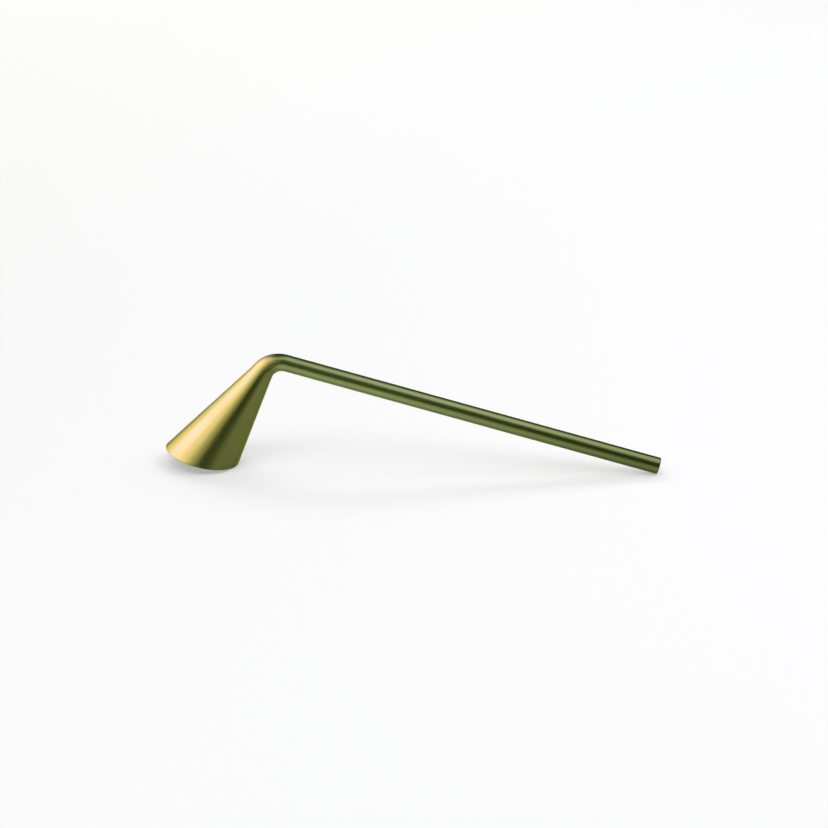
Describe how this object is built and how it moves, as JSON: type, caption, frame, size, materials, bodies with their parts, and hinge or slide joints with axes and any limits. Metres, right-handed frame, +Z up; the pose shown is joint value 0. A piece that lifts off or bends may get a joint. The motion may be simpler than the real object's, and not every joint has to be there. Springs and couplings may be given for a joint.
{
  "type": "candle snuffer",
  "caption": "Candle snuffer: a hollow conical bell with a slanting mouth, a tapering elbow at its narrow end and a long straight tube handle with a plugged end, all in satin brass.",
  "frame": {"origin": "on the table, at the middle of the length and of the width of the box round the whole snuffer", "axes": "+Z up, +X along the table from the bell to the handle's end, +Y across; the XZ plane is the snuffer's mirror plane. The part is in the pose in which it rests on a table: on the edge of the bell's mouth nearest the handle and on the lower edge of the handle's end"},
  "size_m": [0.2368, 0.0336, 0.0564],
  "materials": {
    "bell_brass": "satin, fine brushed along the bell",
    "handle_brass": "satin, fine brushed along the tube",
    "braze": "filler ground flush and brushed"
  },
  "bodies": {
    "root": {"bell": "bell_brass", "neck_braze_ring": "braze", "elbow": "bell_brass", "handle_braze_ring": "braze", "handle_tube": "handle_brass", "end_plug": "handle_brass"}
  },
  "joints": []
}
